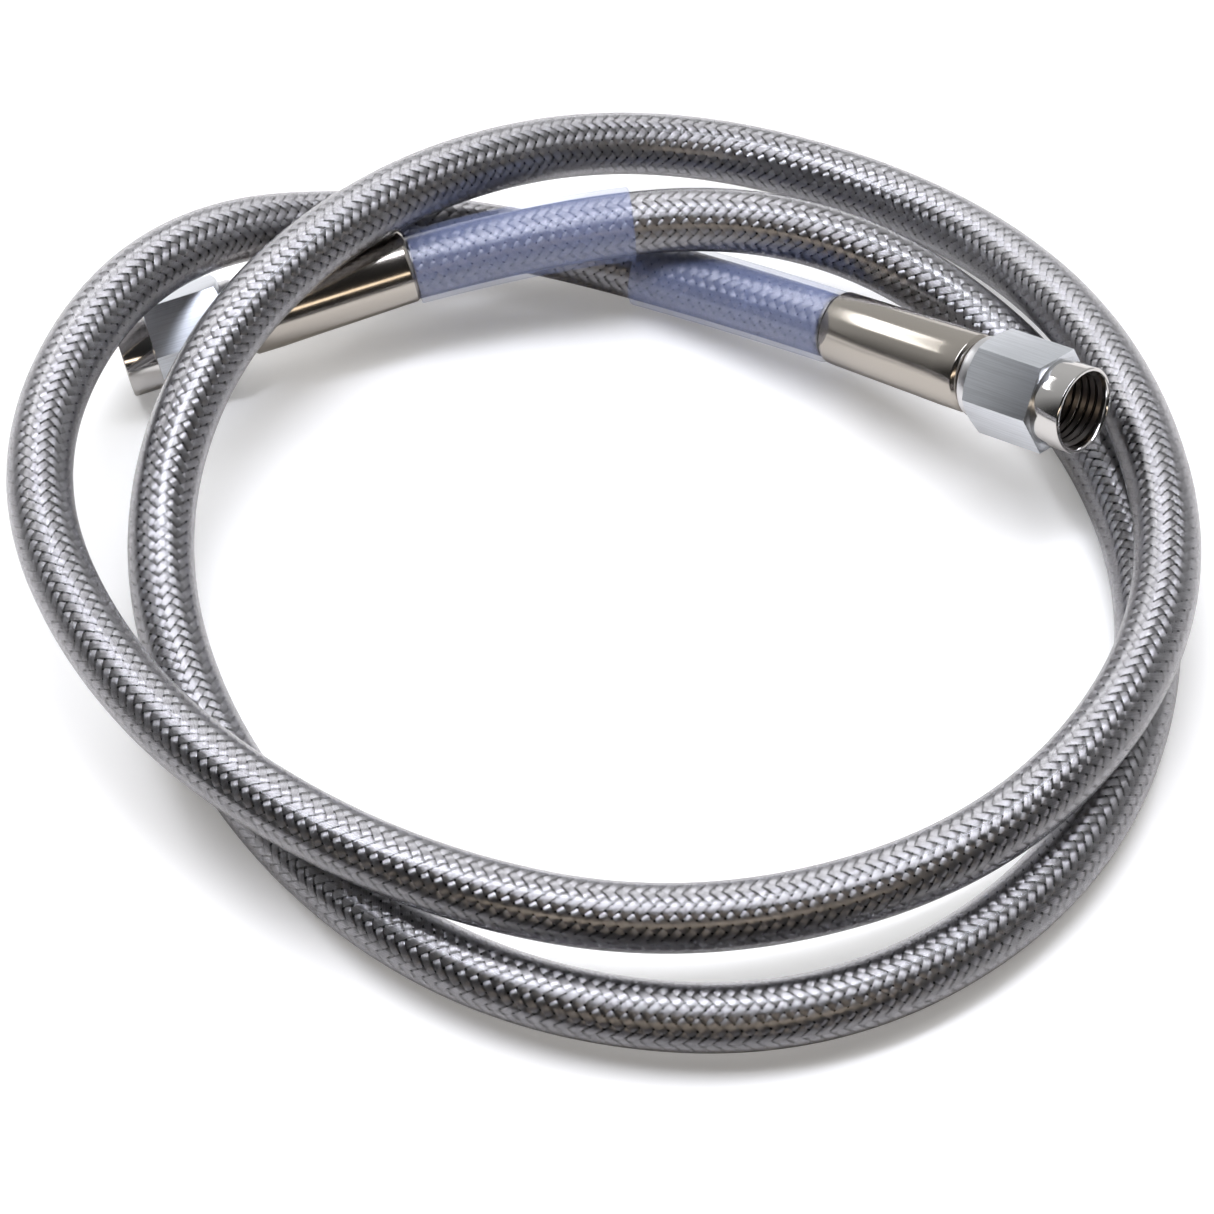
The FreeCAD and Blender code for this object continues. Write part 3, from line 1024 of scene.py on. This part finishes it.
@dataclass
class Studio:
    """The pale floor, the soft lights and the camera."""

    aim: Vector = field(default_factory=lambda: Vector((0.0008, -0.0296, 0.0)))
    distance: float = 0.5605
    elevation: float = math.radians(50)
    lens: float = 142.2
    middle: Vector = field(default_factory=lambda: Vector((0.0, -0.03, 0.0)))
    floor_colour: str = "FAFAFA"
    # Painted reflection: the floor colours that the metal and the jacket mirror, dark in front of the coil
    # and greyer elsewhere, and where one turns into the other.
    painted_dark_reflection: str = "202022"
    painted_pale_reflection: str = "E6E4E2"
    painted_dark_reflection_line: float = -0.112
    painted_pale_reflection_line: float = -0.098
    floor_glow: float = 0.2
    # From the front of the room to its back: how far round, and how bright the wall is there.
    room_greys: tuple[tuple[float, float], ...] = ((0.15, 0.02), (0.36, 0.04), (0.54, 0.42), (0.95, 0.62))

    def camera(self) -> None:
        """Set up the camera, level and looking down at the coil."""
        data = bpy.data.cameras.new("camera")
        data.lens = self.lens
        data.sensor_width = 36.0
        data.clip_start = 0.01
        camera = bpy.data.objects.new("camera", data)
        bpy.context.scene.collection.objects.link(camera)
        back = Vector((0.0, -math.cos(self.elevation), math.sin(self.elevation)))
        camera.location = self.aim + back * self.distance
        camera.rotation_euler = (math.pi / 2 - self.elevation, 0.0, 0.0)
        bpy.context.scene.camera = camera

    def floor(self) -> None:
        """Lay the pale floor, with a painted reflection: the metal and the jacket mirror it greyer, and dark
        in front of the coil.
        """
        deselect_all()
        bpy.ops.mesh.primitive_plane_add(size=6.0)
        floor = bpy.context.active_object
        floor.name = "floor"
        material = bpy.data.materials.new("pale_paper_floor")
        material.use_nodes = True
        tree = material.node_tree
        shader = tree.nodes["Principled BSDF"]
        shader.inputs["Roughness"].default_value = 0.9
        shader.inputs["Specular IOR Level"].default_value = 0.1
        place = add_node(tree, "ShaderNodeTexCoord")
        split = add_node(tree, "ShaderNodeSeparateXYZ", {}, {0: place.outputs["Object"]})
        # Painted reflection: to glossy and transmission rays the floor is dark in front of the coil and
        # greyer behind that line.
        painted_reflection_fade = add_node(tree, "ShaderNodeMapRange",
                       {"interpolation_type": "SMOOTHSTEP", "From Min": self.painted_dark_reflection_line,
                        "From Max": self.painted_pale_reflection_line},
                       {"Value": split.outputs["Y"]})
        painted_reflection = add_node(tree, "ShaderNodeMix",
                            {"data_type": "RGBA", 6: linear(self.painted_dark_reflection),
                             7: linear(self.painted_pale_reflection)},
                            {0: painted_reflection_fade.outputs["Result"]})
        path = add_node(tree, "ShaderNodeLightPath")
        in_metal = add_node(tree, "ShaderNodeMath", {"operation": "MAXIMUM"},
                            {0: path.outputs["Is Glossy Ray"], 1: path.outputs["Is Transmission Ray"]})
        shade = add_node(tree, "ShaderNodeMix", {"data_type": "RGBA", 6: linear(self.floor_colour)},
                         {0: in_metal.outputs[0], 7: painted_reflection.outputs[2]})
        tree.links.new(shade.outputs[2], shader.inputs["Base Color"])
        shader.inputs["Emission Color"].default_value = linear("FFFFFF")
        eye = add_node(tree, "ShaderNodeMath", {"operation": "MULTIPLY", 1: self.floor_glow},
                       {0: path.outputs["Is Camera Ray"]})
        tree.links.new(eye.outputs[0], shader.inputs["Emission Strength"])
        dress(floor, material)

    def lights(self) -> None:
        """Hang three strips, which the metal mirrors, and two wide fills, which it doesn't."""
        self.area("overhead_strip", Vector((-0.03, 0.03, 0.9)), (1.0, 0.14), 4.5, "F0F3FF")
        self.area("front_strip", Vector((0.1, -0.85, 0.42)), (1.0, 0.1), 1.0, "FFEBD2")
        self.area("side_strip", Vector((-0.55, 0.45, 0.55)), (0.5, 0.05), 0.5, "FFFFFF")
        fills = {"overhead_fill": Vector((0.0, 0.1, 0.95)), "back_fill": Vector((-0.2, 0.8, 0.6))}
        for name, place in fills.items():
            fill = self.area(name, place, (1.0, 0.6), 5.0, "FFFFFF")
            fill.visible_glossy = False

    def area(self, name: str, place: Vector, size: tuple[float, float], power: float,
             colour: str) -> bpy.types.Object:
        """Add one rectangular light that faces the middle of the coil.

        Args:
            name: Its name.
            place: Where it hangs, in metres.
            size: Its size across and its other size, in metres.
            power: Its power in watts.
            colour: Its colour.

        Returns:
            The light.
        """
        data = bpy.data.lights.new(name, "AREA")
        data.shape = "RECTANGLE"
        data.size, data.size_y = size
        data.energy = power
        data.color = linear(colour)[:3]
        light = bpy.data.objects.new(name, data)
        bpy.context.scene.collection.objects.link(light)
        light.location = place
        light.rotation_euler = (self.middle - place).to_track_quat("-Z", "Y").to_euler()
        return light

    def world(self) -> None:
        """Surround the coil with a room that is pale at the back and dark in front."""
        world = bpy.data.worlds.new("studio_room")
        bpy.context.scene.world = world
        world.use_nodes = True
        tree = world.node_tree
        direction = add_node(tree, "ShaderNodeTexCoord")
        split = add_node(tree, "ShaderNodeSeparateXYZ", {}, {0: direction.outputs["Generated"]})
        half = add_node(tree, "ShaderNodeMath", {"operation": "MULTIPLY_ADD", 1: 0.5, 2: 0.5},
                        {0: split.outputs["Y"]})
        room = add_node(tree, "ShaderNodeValToRGB", {}, {"Fac": half.outputs[0]})
        set_ramp(room, [(place, grey(level)) for place, level in self.room_greys])
        tree.links.new(room.outputs["Color"], tree.nodes["Background"].inputs["Color"])

    def build(self) -> None:
        """Make the studio around the coil."""
        self.floor()
        self.lights()
        self.world()
        bpy.context.scene.view_settings.view_transform = "Standard"


def dress_hidden_metal() -> None:
    """Give the stems and retaining rings inside the nuts their turned steel."""
    steel = STEM_STEEL.material()
    for side in Side:
        for node in ("hose_stem", "retaining_ring"):
            dress(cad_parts[f"{side.value}_{node}"], steel)


def route_point(number: int) -> Vector:
    """Return one corner of the route, in metres."""
    return Vector(ROUTE_MM[number]) * MM


def main() -> None:
    """Make the camera, the hose, both fittings and the studio."""
    logging.basicConfig(level=logging.INFO)
    deselect_all()
    studio = Studio()
    studio.camera()
    Hose(MiddleLine(ROUTE_MM)).build()
    Fitting(Side.LEFT, hose_end=route_point(0), next_corner=route_point(1),
            flat_faces=Vector((0.27, -0.96, 0.05)), ferrule_start=15.25).build()
    Fitting(Side.RIGHT, hose_end=route_point(-1), next_corner=route_point(-2),
            flat_faces=Vector((-0.57, -0.46, 0.69)), ferrule_start=15.6).build()
    dress_hidden_metal()
    studio.build()


if __name__ == "__main__":
    main()
